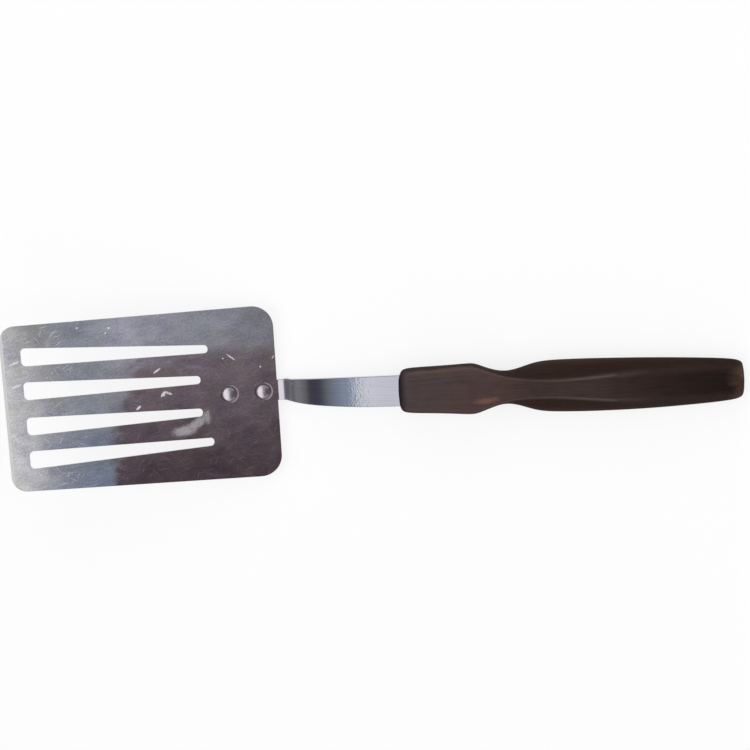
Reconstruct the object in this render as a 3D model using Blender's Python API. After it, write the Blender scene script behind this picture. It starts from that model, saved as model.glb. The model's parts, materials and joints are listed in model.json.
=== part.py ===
"""Slotted kitchen turner: sheet blade, cranked strip shank, two rivets and a moulded handle.

The pieces are modelled in the blade's own frame: the origin is the middle of the blade's front
edge, on its top face, +X runs towards the handle and +Z stands off the top face. The whole
assembly then turns and drops to the way it lies on a table: on the shank's heel and the handle's
butt, with the blade's front edge in the air, because the handle outweighs the blade.
"""

import math

import bmesh
import bpy
from mathutils import Matrix, Vector

MM = 0.001
GAP = 0.3 * MM  # left between pieces that touch

# Blade, a sheet that narrows a little towards its front edge
BLADE_LENGTH = 119.4 * MM
BLADE_REAR_WIDTH = 76.9 * MM
BLADE_FRONT_WIDTH = 73.5 * MM
BLADE_THICKNESS = 1.2 * MM
BLADE_FRONT_RADIUS = 6.8 * MM
BLADE_REAR_RADIUS = 9.6 * MM
GRIND_WIDTH = 1.6 * MM
GRIND_EDGE = 0.5 * MM  # thickness left at the ground front edge
GRIND_REACH = 2.0 * MM  # how far the grinding wedge runs past the sheet

# Slots: the front ends lie on one line, and the outer pair runs further back
SLOT_FRONT_X = 8.8 * MM
SLOT_FRONT_WIDTH = 8.05 * MM
SLOT_REAR_WIDTH = 3.55 * MM
SLOT_FRONT_RADIUS = 2.0 * MM
SLOT_REAR_RADIUS = 1.6 * MM
INNER_SLOT = {"rear_x": 85.8 * MM, "front_y": 7.9 * MM, "rear_y": 7.3 * MM}
OUTER_SLOT = {"rear_x": 89.9 * MM, "front_y": 22.95 * MM, "rear_y": 20.8 * MM}

# Rivets, domed above and set flat below
RIVET_X = {"blade_rivet_front": 98.2 * MM, "blade_rivet_rear": 113.3 * MM}
RIVET_HEAD_RADIUS = 2.9 * MM
RIVET_DOME_HEIGHT = 0.6 * MM
RIVET_RIM_HEIGHT = 0.3 * MM  # upright rim under the dome
RIVET_SHANK_RADIUS = 1.6 * MM
RIVET_TAIL_RADIUS = 2.4 * MM
RIVET_TAIL_HEIGHT = 0.6 * MM
RIVET_TAIL_CHAMFER = 0.25 * MM

# Shank, one bent strip: tab, lip, heel bend, crank, neck and tang. Slopes are above the blade's plane.
STRIP_THICKNESS = 2.5 * MM
STRIP_EDGE = 0.4 * MM  # chamfer along the strip's long edges
TAB_START_X = 91.5 * MM
TAB_END_X = 118.9 * MM  # where the strip starts to lift from the blade's plane
TAB_WIDTH = 9.3 * MM
LIP_RADIUS = 6.0 * MM
LIP_SLOPE = math.radians(11.0)  # of the short straight lip behind the blade
LIP_LENGTH = 2.3 * MM
HEEL_RADIUS = 3.0 * MM
HEEL_SLOPE = math.radians(56.0)  # at the top of the heel bend
RISE_LENGTH = 1.2 * MM
CRANK_RADIUS = 36.5 * MM
CRANK_TURN = math.radians(26.5)
EASE_RADIUS = 100.0 * MM
HANDLE_SLOPE = math.radians(13.0)  # of neck, tang and handle
EASE_TURN = HEEL_SLOPE - CRANK_TURN - HANDLE_SLOPE
NECK_LENGTH = 7.3 * MM
FLARE_GROWTH = 4.8 * MM  # width that the strip gains from the heel to the handle
FLARE_LENGTH = 20.6 * MM  # length over which most of the flare happens
SHOULDER_DEPTH = 4.0 * MM  # full-width strip inside the handle
SHOULDER_LENGTH = 8.0 * MM  # taper from the strip down to the tang
TANG_WIDTH = 8.0 * MM
TANG_LENGTH = 98.0 * MM  # from the handle's front face to the tang's end
ANCHOR_RADIUS = 2.2 * MM
ANCHOR_PLACES = (58.0 * MM, 84.0 * MM)  # behind the handle's front face
ROUND_END_STEPS = 6

# Handle: sections from front face to butt, as a cage for a subdivision surface. Each row gives the
# place along the handle, the half width and height of the flat top, the half width and level of
# the widest line, the half width and depth of the underside, and how crisp the top's edges are.
HANDLE_LENGTH = 147.0 * MM
HANDLE_SECTIONS_MM = (
    # place, top half, top, wide half, level, base half, depth, crispness
    (0.0, 5.6, 4.8, 7.1, 0.0, 5.5, 4.8, 0.30),
    (1.3, 7.9, 6.0, 9.5, 0.0, 7.7, 6.0, 0.36),
    (3.8, 8.9, 6.4, 10.3, 0.0, 8.7, 6.4, 0.42),
    (17.0, 9.3, 6.6, 10.6, 0.1, 9.0, 6.4, 0.42),
    (28.5, 10.1, 6.8, 11.4, 0.3, 9.1, 6.3, 0.42),
    (33.0, 10.3, 6.8, 11.8, 0.5, 9.0, 6.3, 0.44),
    (37.0, 8.9, 6.9, 9.8, 1.0, 7.5, 6.2, 0.46),
    (42.0, 7.0, 7.0, 8.0, 1.5, 6.2, 6.1, 0.50),
    (47.0, 5.2, 7.2, 7.4, 1.8, 5.7, 5.9, 0.54),
    (53.0, 4.2, 7.7, 9.6, 1.9, 6.7, 5.7, 0.60),
    (60.0, 3.7, 8.8, 13.4, 2.0, 7.4, 5.4, 0.64),
    (69.0, 3.6, 10.4, 14.0, 2.2, 7.6, 5.0, 0.64),
    (81.0, 4.4, 11.9, 14.0, 2.6, 7.7, 4.7, 0.60),
    (94.0, 5.7, 12.0, 13.5, 2.8, 7.6, 4.5, 0.48),
    (109.0, 6.6, 10.9, 12.8, 2.5, 7.4, 4.7, 0.28),
    (125.0, 7.0, 9.1, 11.6, 1.8, 7.0, 5.1, 0.18),
    (139.0, 6.6, 7.2, 10.5, 1.1, 6.4, 5.5, 0.18),
    (145.0, 6.0, 6.0, 9.4, 0.8, 5.9, 5.3, 0.22),
    (HANDLE_LENGTH / MM, 4.6, 4.0, 7.6, 0.5, 4.6, 3.9, 0.25),
)
FRONT_FACE_BOW = 0.6 * MM  # how far the front face's sides fall back from its middle
BUTT_BOW = 0.6 * MM
BASE_CRISPNESS = 0.35
FRONT_CRISPNESS = 0.30
BUTT_CRISPNESS = 0.30
SUBDIVISIONS = 2

ROUND_STEPS = 32
CORNER_STEPS = 8
CUTTER_REACH = 20.0 * MM
SMOOTH_ANGLE = math.radians(32.0)
TILT_SEARCH_STEPS = 60

STEEL = {"color": (0.62, 0.61, 0.62), "metallic": 1.0, "roughness": 0.22}
SHANK_STEEL = {"color": (0.66, 0.66, 0.68), "metallic": 1.0, "roughness": 0.28}
RIVET_STEEL = {"color": (0.70, 0.69, 0.70), "metallic": 1.0, "roughness": 0.20}
RESIN = {"color": (0.038, 0.024, 0.022), "metallic": 0.0, "roughness": 0.42}


def clear_scene():
    for leftover in list(bpy.data.objects):
        bpy.data.objects.remove(leftover, do_unlink=True)


def make_material(name, color, metallic, roughness):
    material = bpy.data.materials.new(name)
    material.use_nodes = True
    shader = material.node_tree.nodes["Principled BSDF"]
    shader.inputs["Base Color"].default_value = (*color, 1.0)
    shader.inputs["Metallic"].default_value = metallic
    shader.inputs["Roughness"].default_value = roughness
    return material


def make_object(name, bm, parent, material=None):
    """A named object from a finished bmesh. Without a material it is a cutter, left out of the part."""
    bmesh.ops.recalc_face_normals(bm, faces=bm.faces)
    mesh = bpy.data.meshes.new(name)
    bm.to_mesh(mesh)
    bm.free()
    obj = bpy.data.objects.new(name, mesh)
    bpy.context.scene.collection.objects.link(obj)
    obj.parent = parent
    if material is None:
        obj.hide_render = True
        obj.display_type = "WIRE"
        return obj
    mesh.materials.append(material)
    mesh.shade_smooth()
    mesh.set_sharp_from_angle(angle=SMOOTH_ANGLE)
    return obj


def cut(obj, cutter):
    modifier = obj.modifiers.new(cutter.name, "BOOLEAN")
    modifier.operation = "DIFFERENCE"
    modifier.solver = "EXACT"
    modifier.object = cutter


def rounded_outline(corners, radii):
    """A closed plane outline through the corners, each rounded by an arc of its own radius."""
    outline = []
    for index, corner in enumerate(corners):
        here = Vector(corner)
        back = (Vector(corners[index - 1]) - here).normalized()
        ahead = (Vector(corners[(index + 1) % len(corners)]) - here).normalized()
        half_angle = back.angle(ahead) / 2.0
        centre = here + (back + ahead).normalized() * (radii[index] / math.sin(half_angle))
        start = here + back * (radii[index] / math.tan(half_angle)) - centre
        sweep = start.angle_signed(here + ahead * (radii[index] / math.tan(half_angle)) - centre)
        for step in range(CORNER_STEPS + 1):
            outline.append(centre + Matrix.Rotation(-sweep * step / CORNER_STEPS, 2) @ start)
    return outline


def prism(outline, bottom, top):
    """A bmesh that stands a plane outline up from one height to another."""
    bm = bmesh.new()
    base = bm.faces.new([bm.verts.new((x, y, bottom)) for x, y in outline])
    raised = bmesh.ops.extrude_face_region(bm, geom=[base])
    moved = [item for item in raised["geom"] if isinstance(item, bmesh.types.BMVert)]
    bmesh.ops.translate(bm, verts=moved, vec=(0.0, 0.0, top - bottom))
    return bm


def round_cutter(name, radius, matrix, parent):
    bm = bmesh.new()
    bmesh.ops.create_cone(
        bm,
        cap_ends=True,
        segments=ROUND_STEPS,
        radius1=radius,
        radius2=radius,
        depth=CUTTER_REACH,
        matrix=matrix,
    )
    return make_object(name, bm, parent)


def loft(rings):
    """A closed bmesh skin over rings of equal point count, with a flat cap at each end."""
    bm = bmesh.new()
    loops = [[bm.verts.new(point) for point in ring] for ring in rings]
    for near, far in zip(loops, loops[1:]):
        for index in range(len(near)):
            bm.faces.new((near[index - 1], near[index], far[index], far[index - 1]))
    bm.faces.new(loops[0])
    bm.faces.new(loops[-1])
    return bm


def slot_outline(rear_x, front_y, rear_y, side):
    """One tapered slot on the side +1 or -1 of the blade's middle line."""
    front, rear = SLOT_FRONT_WIDTH / 2.0, SLOT_REAR_WIDTH / 2.0
    corners = (
        (SLOT_FRONT_X, side * front_y - front),
        (rear_x, side * rear_y - rear),
        (rear_x, side * rear_y + rear),
        (SLOT_FRONT_X, side * front_y + front),
    )
    radii = (SLOT_FRONT_RADIUS, SLOT_REAR_RADIUS, SLOT_REAR_RADIUS, SLOT_FRONT_RADIUS)
    return rounded_outline(corners, radii)


def make_blade(parent):
    front, rear = BLADE_FRONT_WIDTH / 2.0, BLADE_REAR_WIDTH / 2.0
    corners = ((0.0, -front), (BLADE_LENGTH, -rear), (BLADE_LENGTH, rear), (0.0, front))
    radii = (BLADE_FRONT_RADIUS, BLADE_REAR_RADIUS, BLADE_REAR_RADIUS, BLADE_FRONT_RADIUS)
    sheet = prism(rounded_outline(corners, radii), -BLADE_THICKNESS, 0.0)
    blade = make_object("blade", sheet, parent, make_material("polished_stainless", **STEEL))
    for label, slot in (("inner", INNER_SLOT), ("outer", OUTER_SLOT)):
        for side in (-1, 1):
            hole = prism(slot_outline(side=side, **slot), -CUTTER_REACH / 2.0, CUTTER_REACH / 2.0)
            cut(blade, make_object(f"{label}_slot_cutter_{side + 1}", hole, parent))
    for name, place in RIVET_X.items():
        matrix = Matrix.Translation((place, 0.0, 0.0))
        cut(blade, round_cutter(f"{name}_blade_hole", RIVET_SHANK_RADIUS + GAP, matrix, parent))
    cut(blade, make_grind_cutter(parent))
    return blade


def make_grind_cutter(parent):
    """A long wedge that thins the top of the front edge."""
    slope = (BLADE_THICKNESS - GRIND_EDGE) / GRIND_WIDTH
    ahead, behind = -GRIND_REACH, GRIND_WIDTH + GRIND_REACH
    wedge = (
        (ahead, slope * (ahead - GRIND_WIDTH)),
        (behind, slope * GRIND_REACH),
        (ahead, slope * GRIND_REACH),
    )
    sides = (-BLADE_REAR_WIDTH, BLADE_REAR_WIDTH)
    return make_object("grind_cutter", loft([[(x, y, z) for x, z in wedge] for y in sides]), parent)


def make_rivet(name, parent):
    """A solid rivet turned about its own axis: dome, rim, shank and flat set end."""
    under_blade = -BLADE_THICKNESS - GAP - STRIP_THICKNESS - GAP
    tail = under_blade - RIVET_TAIL_HEIGHT
    dome = (RIVET_HEAD_RADIUS**2 + RIVET_DOME_HEIGHT**2) / (2.0 * RIVET_DOME_HEIGHT)
    dome_centre = GAP + RIVET_RIM_HEIGHT + RIVET_DOME_HEIGHT - dome
    profile = []
    for step in range(CORNER_STEPS + 1):
        angle = math.asin(RIVET_HEAD_RADIUS / dome) * step / CORNER_STEPS
        profile.append((dome * math.sin(angle), dome_centre + dome * math.cos(angle)))
    profile += [
        (RIVET_HEAD_RADIUS, GAP),
        (RIVET_SHANK_RADIUS, GAP),
        (RIVET_SHANK_RADIUS, under_blade),
        (RIVET_TAIL_RADIUS, under_blade),
        (RIVET_TAIL_RADIUS - RIVET_TAIL_CHAMFER, tail),
        (0.0, tail),
    ]
    bm = bmesh.new()
    verts = [bm.verts.new((radius, 0.0, height)) for radius, height in profile]
    edges = [bm.edges.new(pair) for pair in zip(verts, verts[1:])]
    bmesh.ops.spin(
        bm,
        geom=verts + edges,
        cent=(0.0, 0.0, 0.0),
        axis=(0.0, 0.0, 1.0),
        angle=math.tau,
        steps=ROUND_STEPS,
        use_merge=True,
    )
    bmesh.ops.remove_doubles(bm, verts=bm.verts, dist=0.001 * MM)
    rivet = make_object(name, bm, parent, make_material(f"{name}_stainless", **RIVET_STEEL))
    rivet.location.x = RIVET_X[name]
    return rivet


def strip_runs():
    """The bent strip's runs as (length, turn, steps), from the tab's round end to the tang's."""
    return {
        "tab": (TAB_END_X - TAB_START_X, 0.0, 6),
        "lift": (LIP_RADIUS * LIP_SLOPE, LIP_SLOPE, 3),
        "lip": (LIP_LENGTH, 0.0, 1),
        "heel": (HEEL_RADIUS * (HEEL_SLOPE - LIP_SLOPE), HEEL_SLOPE - LIP_SLOPE, 10),
        "rise": (RISE_LENGTH, 0.0, 1),
        "crank": (CRANK_RADIUS * CRANK_TURN, -CRANK_TURN, 12),
        "ease": (EASE_RADIUS * EASE_TURN, -EASE_TURN, 12),
        "neck": (NECK_LENGTH, 0.0, 3),
        "buried": (SHOULDER_DEPTH, 0.0, 1),
        "shoulder": (SHOULDER_LENGTH, 0.0, 6),
        "tang": (TANG_LENGTH - SHOULDER_DEPTH - SHOULDER_LENGTH, 0.0, 12),
    }


def run_start(name):
    """Distance from the tab's end at which a run starts. Past the last run it is the whole length."""
    distance = 0.0
    for run, (length, _, _) in strip_runs().items():
        if run == name:
            break
        distance += length
    return distance


def strip_point(distance):
    """Middle-line point (x, z) and slope of the strip at a distance from the tab's end."""
    x = TAB_START_X
    z = -BLADE_THICKNESS - GAP - STRIP_THICKNESS / 2.0
    slope = 0.0
    for length, turn, _ in strip_runs().values():
        run = min(max(distance, 0.0), length)
        end = slope + turn * run / length
        if turn:
            radius = length / turn
            x += radius * (math.sin(end) - math.sin(slope))
            z += radius * (math.cos(slope) - math.cos(end))
        else:
            x += run * math.cos(slope)
            z += run * math.sin(slope)
        slope = end
        distance -= length
    return x, z, slope


def strip_half_width(distance):
    """Half the strip's width: round tab end, tab, flared crank, shoulder, tang and its round end."""
    flare = 1.0 - math.exp(-max(distance - run_start("rise"), 0.0) / FLARE_LENGTH)
    half = (TAB_WIDTH + FLARE_GROWTH * flare) / 2.0
    blend = min(max((distance - run_start("shoulder")) / SHOULDER_LENGTH, 0.0), 1.0)
    half += (TANG_WIDTH / 2.0 - half) * blend * blend * (3.0 - 2.0 * blend)
    from_end = min(distance, run_start("end") - distance)
    if from_end < half:
        half = math.sqrt(half**2 - (half - from_end) ** 2)
    return half


def strip_stations():
    """Distances at which the strip's section is drawn: along every run, and closer round the two ends."""
    end = run_start("end")
    round_end = [
        TAB_WIDTH / 2.0 * (1.0 - math.cos(math.pi / 2.0 * step / ROUND_END_STEPS))
        for step in range(1, ROUND_END_STEPS + 1)
    ]
    middle = []
    for name, (length, _, steps) in strip_runs().items():
        middle += [run_start(name) + length * step / steps for step in range(1, steps + 1)]
    middle = [distance for distance in middle if TAB_WIDTH / 2.0 < distance < end - TAB_WIDTH / 2.0]
    return round_end + middle + [end - distance for distance in reversed(round_end)]


def strip_skin(grow):
    """The bent strip, thickened all round by grow."""
    half_thick = STRIP_THICKNESS / 2.0 + grow
    rings = []
    for distance in strip_stations():
        x, z, slope = strip_point(distance)
        across = Vector((0.0, strip_half_width(distance) + grow, 0.0))
        edge = across * min(STRIP_EDGE / across.y, 0.5)
        up = Vector((-math.sin(slope), 0.0, math.cos(slope))) * half_thick
        lift = up * (1.0 - STRIP_EDGE / half_thick)
        half_ring = [across - edge + up, across + lift, across - lift, across - edge - up]
        other_half = [Vector((point.x, -point.y, point.z)) for point in reversed(half_ring)]
        rings.append([Vector((x, 0.0, z)) + point for point in half_ring + other_half])
    return loft(rings)


def anchor_matrices():
    """Axes of the tang's anchor holes, square to the tang."""
    for place in ANCHOR_PLACES:
        x, z, slope = strip_point(run_start("buried") + place)
        yield Matrix.Translation((x, 0.0, z)) @ Matrix.Rotation(-slope, 4, "Y")


def make_shank(parent):
    shank = make_object("shank", strip_skin(0.0), parent, make_material("satin_stainless", **SHANK_STEEL))
    tab_level = -BLADE_THICKNESS - GAP - STRIP_THICKNESS / 2.0
    for name, place in RIVET_X.items():
        matrix = Matrix.Translation((place, 0.0, tab_level))
        cut(shank, round_cutter(f"{name}_tab_hole", RIVET_SHANK_RADIUS + GAP, matrix, parent))
    for index, matrix in enumerate(anchor_matrices()):
        cut(shank, round_cutter(f"anchor_hole_cutter_{index}", ANCHOR_RADIUS, matrix, parent))
    return shank


def handle_rings():
    """Eight-point sections: top middle, top edge, widest line and base edge, then back up the other side."""
    x0, z0, slope = strip_point(run_start("buried"))
    along = Vector((math.cos(slope), 0.0, math.sin(slope)))
    up = Vector((-math.sin(slope), 0.0, math.cos(slope)))
    last = len(HANDLE_SECTIONS_MM) - 1
    for index, (place, top_half, top, wide_half, level, base_half, depth, _) in enumerate(HANDLE_SECTIONS_MM):
        bow = {0: FRONT_FACE_BOW, last: -BUTT_BOW}.get(index, 0.0)
        section = (
            (0.0, top),
            (top_half, top),
            (wide_half, level),
            (base_half, -depth),
            (0.0, -depth),
            (-base_half, -depth),
            (-wide_half, level),
            (-top_half, top),
        )
        yield [
            Vector((x0, 0.0, z0))
            + along * (place * MM + bow * (side / wide_half) ** 2)
            + up * (height * MM)
            + Vector((0.0, side * MM, 0.0))
            for side, height in section
        ]


def crease_handle(bm):
    """Crisp long edges on the top, softer ones below, and rounded ends."""
    layer = bm.edges.layers.float.new("crease_edge")
    bm.verts.index_update()
    ring_size = 8
    last = len(HANDLE_SECTIONS_MM) - 1
    for edge in bm.edges:
        near, far = sorted(vert.index for vert in edge.verts)
        ring, corner = divmod(near, ring_size)
        if far - near != ring_size:
            edge[layer] = {0: FRONT_CRISPNESS, last: BUTT_CRISPNESS}.get(ring, 0.0)
        elif corner in (1, 7):
            edge[layer] = (HANDLE_SECTIONS_MM[ring][-1] + HANDLE_SECTIONS_MM[ring + 1][-1]) / 2.0
        elif corner in (3, 5):
            edge[layer] = BASE_CRISPNESS


def make_handle(parent):
    bm = loft(list(handle_rings()))
    crease_handle(bm)
    handle = make_object("handle", bm, parent, make_material("moulded_resin", **RESIN))
    skin = handle.modifiers.new("rounding", "SUBSURF")
    skin.levels = SUBDIVISIONS
    skin.render_levels = SUBDIVISIONS
    cut(handle, make_socket_cutter(parent))
    return handle


def make_socket_cutter(parent):
    """The space that the tang takes in the handle, with room left for the pegs through its anchor holes."""
    socket = make_object("socket_cutter", strip_skin(GAP), parent)
    for index, matrix in enumerate(anchor_matrices()):
        cut(socket, round_cutter(f"peg_cutter_{index}", ANCHOR_RADIUS - GAP, matrix, parent))
    return socket


def outline_points(pieces):
    """Corner points of the finished pieces in the world, as (x, y, z)."""
    bpy.context.view_layer.update()
    graph = bpy.context.evaluated_depsgraph_get()
    points = []
    for piece in pieces:
        finished = piece.evaluated_get(graph)
        mesh = finished.to_mesh()
        points += [finished.matrix_world @ vert.co for vert in mesh.vertices]
        finished.to_mesh_clear()
    return points


def lowest(points, tilt):
    return min(point.z * math.cos(tilt) - point.x * math.sin(tilt) for point in points)


def rest_tilt(shank, handle):
    """The angle at which the shank's heel and the handle's butt touch a table together."""
    heel_points, butt_points = outline_points([shank]), outline_points([handle])
    low, high = 0.0, HEEL_SLOPE
    for _ in range(TILT_SEARCH_STEPS):
        middle = (low + high) / 2.0
        if lowest(heel_points, middle) < lowest(butt_points, middle):
            low = middle
        else:
            high = middle
    return low


def lay_on_table(assembly, pieces, tilt):
    """Turns the assembly to its rest and puts the bottom centre of its box at the origin."""
    assembly.rotation_euler.y = tilt
    points = outline_points(pieces)
    low = Vector(min(point[axis] for point in points) for axis in range(3))
    high = Vector(max(point[axis] for point in points) for axis in range(3))
    assembly.location = (-(low.x + high.x) / 2.0, -(low.y + high.y) / 2.0, -low.z)


def main():
    clear_scene()
    assembly = bpy.data.objects.new("turner", None)
    bpy.context.scene.collection.objects.link(assembly)
    blade = make_blade(assembly)
    shank = make_shank(assembly)
    handle = make_handle(assembly)
    rivets = [make_rivet(name, assembly) for name in RIVET_X]
    tilt = rest_tilt(shank, handle)
    lay_on_table(assembly, [blade, shank, handle, *rivets], tilt)
    print(f"rest tilt {math.degrees(tilt):.4f} degrees, blade origin at", tuple(assembly.location))


main()
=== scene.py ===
"""Looks of a slotted kitchen turner: polished blade, bent satin strip, two rivets and a moulded handle.

Every piece is modelled in the blade's own frame, in metres, the handle by way of a frame of its own. The
origin is the middle of the blade's front edge, on the top face, +X runs towards the handle and +Z stands off
the top face. A finished piece is then turned to the way the turner lies on a table, with its place in its
mesh.
"""

import json
import math

import bmesh
import bpy
from mathutils import Euler, Matrix, Vector


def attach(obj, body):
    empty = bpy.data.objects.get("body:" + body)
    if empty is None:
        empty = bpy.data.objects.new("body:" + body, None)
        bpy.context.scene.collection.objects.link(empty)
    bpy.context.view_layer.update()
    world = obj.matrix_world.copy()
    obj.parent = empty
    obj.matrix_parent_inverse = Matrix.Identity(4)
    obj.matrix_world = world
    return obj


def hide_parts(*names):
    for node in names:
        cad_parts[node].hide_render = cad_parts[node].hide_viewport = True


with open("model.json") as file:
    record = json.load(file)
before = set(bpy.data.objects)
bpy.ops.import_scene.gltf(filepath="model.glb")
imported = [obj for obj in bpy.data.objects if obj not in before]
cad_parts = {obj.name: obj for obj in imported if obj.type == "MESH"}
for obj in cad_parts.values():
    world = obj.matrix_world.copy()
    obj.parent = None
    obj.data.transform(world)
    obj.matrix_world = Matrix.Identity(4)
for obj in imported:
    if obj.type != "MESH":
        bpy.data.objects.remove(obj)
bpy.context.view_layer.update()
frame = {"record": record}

MM = 0.001
GAP = 0.3 * MM  # room that the solids leave between pieces that touch
TINY = 0.001 * MM  # within which two places are the same

# Blade
BLADE_LENGTH = 119.4 * MM
BLADE_REAR_WIDTH = 76.89 * MM
BLADE_FRONT_WIDTH = 73.5 * MM
BLADE_THICKNESS = 1.2 * MM
BLADE_FRONT_RADIUS = 6.8 * MM
BLADE_REAR_RADIUS = 9.6 * MM
BLADE_CORNER_STEPS = 16
GRIND_WIDTH = 1.61 * MM
GRIND_EDGE = 0.5 * MM  # thickness left at the ground front edge
STAMPED_EDGE = 0.14 * MM  # rounding that tumbling leaves on the stamped edges
STAMPED_EDGE_STEPS = 3
MOUNT_X = 30.0 * MM  # place of the record's mount on the underside

# Slots, as (x, y, width) of the front end and of the rear end
SLOTS = {
    "inner": ((8.8 * MM, 7.9 * MM, 8.05 * MM), (85.8 * MM, 7.3 * MM, 3.55 * MM)),
    "outer": ((8.8 * MM, 22.95 * MM, 8.05 * MM), (89.9 * MM, 20.8 * MM, 3.55 * MM)),
}
SLOT_FRONT_RADIUS = 2.0 * MM
SLOT_REAR_RADIUS = 1.6 * MM
SLOT_CORNER_STEPS = 10

# Rivets
RIVET_X = {"blade_rivet_front": 98.2 * MM, "blade_rivet_rear": 113.3 * MM}
RIVET_HEAD_RADIUS = 2.9 * MM
RIVET_CROWN = 1.15 * MM  # top of the dome above the blade
RIVET_RIM = 0.66 * MM  # height at which the dome meets its short upright rim
RIVET_DOME_STEPS = 14
RIVET_SEAT = -0.2 * MM  # the rim's foot, inside the dish that the head is set in
RIVET_SHANK_RADIUS = 1.6 * MM
RIVET_TAIL_RADIUS = 2.4 * MM
RIVET_TAIL_TOP = -4.3 * MM
RIVET_TAIL_FOOT = -4.9 * MM
RIVET_TAIL_ROUND = 0.25 * MM
DISH_RADIUS = 4.0 * MM  # dish pressed into the blade by the rivet's setting
DISH_FLOOR_RADIUS = 3.05 * MM
DISH_DEPTH = 0.26 * MM

# Shank. Slopes are above the blade's plane.
STRIP_THICKNESS = 2.5 * MM
STRIP_EDGE = 0.4 * MM  # rounding of its edges
STRIP_EDGE_STEPS = 4
STRIP_END_STEPS = 12
STRIP_END_FLAT = 0.02 * MM  # left on either side of the middle between the roundings of an end
TAB_START_X = 91.5 * MM
TAB_END_X = 118.9 * MM
TAB_WIDTH = 9.3 * MM
LIP_RADIUS = 6.0 * MM
LIP_SLOPE = math.radians(11.0)
LIP_LENGTH = 2.3 * MM
HEEL_RADIUS = 3.0 * MM
HEEL_SLOPE = math.radians(56.0)
RISE_LENGTH = 1.2 * MM
CRANK_RADIUS = 36.5 * MM
CRANK_TURN = math.radians(26.5)
EASE_RADIUS = 100.0 * MM
HANDLE_SLOPE = math.radians(13.0)
EASE_TURN = HEEL_SLOPE - CRANK_TURN - HANDLE_SLOPE
NECK_LENGTH = 7.3 * MM
FLARE_GROWTH = 4.8 * MM
FLARE_LENGTH = 20.6 * MM
SHOULDER_DEPTH = 4.0 * MM
SHOULDER_LENGTH = 8.0 * MM
TANG_WIDTH = 8.0 * MM
TANG_LENGTH = 98.0 * MM
ANCHOR_RADIUS = 2.2 * MM
ANCHOR_PLACES = (58.0 * MM, 84.0 * MM)  # behind the handle's front face

# Handle cage, in mm: place along the handle, half width and height of the flat top, half width and level
# of the widest line, half width and depth of the underside, and how crisp the top's edges are
HANDLE_SECTIONS_MM = (
    (0.0, 5.6, 4.8, 7.1, 0.0, 5.5, 4.8, 0.30),
    (1.3, 7.9, 6.0, 9.5, 0.0, 7.7, 6.0, 0.36),
    (3.8, 8.9, 6.4, 10.3, 0.0, 8.7, 6.4, 0.42),
    (17.0, 9.3, 6.6, 10.6, 0.1, 9.0, 6.4, 0.42),
    (28.5, 10.1, 6.8, 11.4, 0.3, 9.1, 6.3, 0.42),
    (33.0, 10.3, 6.8, 11.8, 0.5, 9.0, 6.3, 0.44),
    (37.0, 8.9, 6.9, 9.8, 1.0, 7.5, 6.2, 0.46),
    (42.0, 7.0, 7.0, 8.0, 1.5, 6.2, 6.1, 0.50),
    (47.0, 5.2, 7.2, 7.4, 1.8, 5.7, 5.9, 0.54),
    (53.0, 4.2, 7.7, 9.6, 1.9, 6.7, 5.7, 0.60),
    (60.0, 3.7, 8.8, 13.4, 2.0, 7.4, 5.4, 0.64),
    (69.0, 3.6, 10.4, 14.0, 2.2, 7.6, 5.0, 0.64),
    (81.0, 4.4, 11.9, 14.0, 2.6, 7.7, 4.7, 0.60),
    (94.0, 5.7, 12.0, 13.5, 2.8, 7.6, 4.5, 0.48),
    (109.0, 6.6, 10.9, 12.8, 2.5, 7.4, 4.7, 0.28),
    (125.0, 7.0, 9.1, 11.6, 1.8, 7.0, 5.1, 0.18),
    (139.0, 6.6, 7.2, 10.5, 1.1, 6.4, 5.49, 0.18),
    (145.0, 6.0, 6.0, 9.4, 0.8, 5.9, 5.29, 0.22),
    (146.99, 4.6, 4.0, 7.6, 0.5, 4.6, 3.9, 0.25),
)
FRONT_FACE_BOW = 0.6 * MM
BUTT_BOW = 0.6 * MM
BASE_CRISPNESS = 0.35
FRONT_CRISPNESS = 0.30
BUTT_CRISPNESS = 0.30
HANDLE_ROUNDING = 4  # subdivision levels

ROUNDED_ANGLE = math.radians(50.0)  # edges that turn by more than this are rounded
SMOOTH_ANGLE = math.radians(32.0)
SHEET_SMOOTH_ANGLE = math.radians(12.0)  # keeps the blade's flat faces flat up to their edges
ROUND_STEPS = 48
CUTTER_REACH = 10.0 * MM

# Camera: a long lens above the blade, turned a little to the picture. Its place is the blade's origin as
# the camera sees it, and its turn is the blade frame's turn in the camera's.
CAMERA_LENS_MM = 85.0
CAMERA_TURN = (0.166588091, 0.0926238524, 0.0745879974)
BLADE_FROM_CAMERA = Vector((-161.81, -15.713, -774.714)) * MM


# Placing

def rest_matrix():
    """Turns the blade's frame to the table's, from the record's mount on the blade's underside."""
    mount = frame["record"]["mounts"][0]
    axis = mount["axis"]
    tilt = math.atan2(-axis[0], -axis[2])
    mount_in_blade = Vector((MOUNT_X, 0.0, -BLADE_THICKNESS))
    turn = Matrix.Rotation(tilt, 4, "Y")
    return Matrix.Translation(mount["pos_m"]) @ turn @ Matrix.Translation(-mount_in_blade)


REST = rest_matrix()


def select_only(obj):
    """Leaves one piece selected, so that the next operator acts on it alone."""
    bpy.ops.object.select_all(action="DESELECT")
    obj.select_set(True)
    bpy.context.view_layer.objects.active = obj


def place(obj, matrix):
    """Moves a piece by a matrix and leaves its object at the origin, with the place in its mesh."""
    select_only(obj)
    obj.matrix_world = matrix
    bpy.ops.object.transform_apply(location=True, rotation=True, scale=True)


# Modelling by hand

def begin(name):
    """Names the primitive just added and opens it for editing."""
    obj = bpy.context.object
    obj.name = name
    obj.data.name = name
    bpy.ops.object.transform_apply(location=True, rotation=True, scale=True)
    bpy.ops.object.mode_set(mode="EDIT")
    return obj


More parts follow.
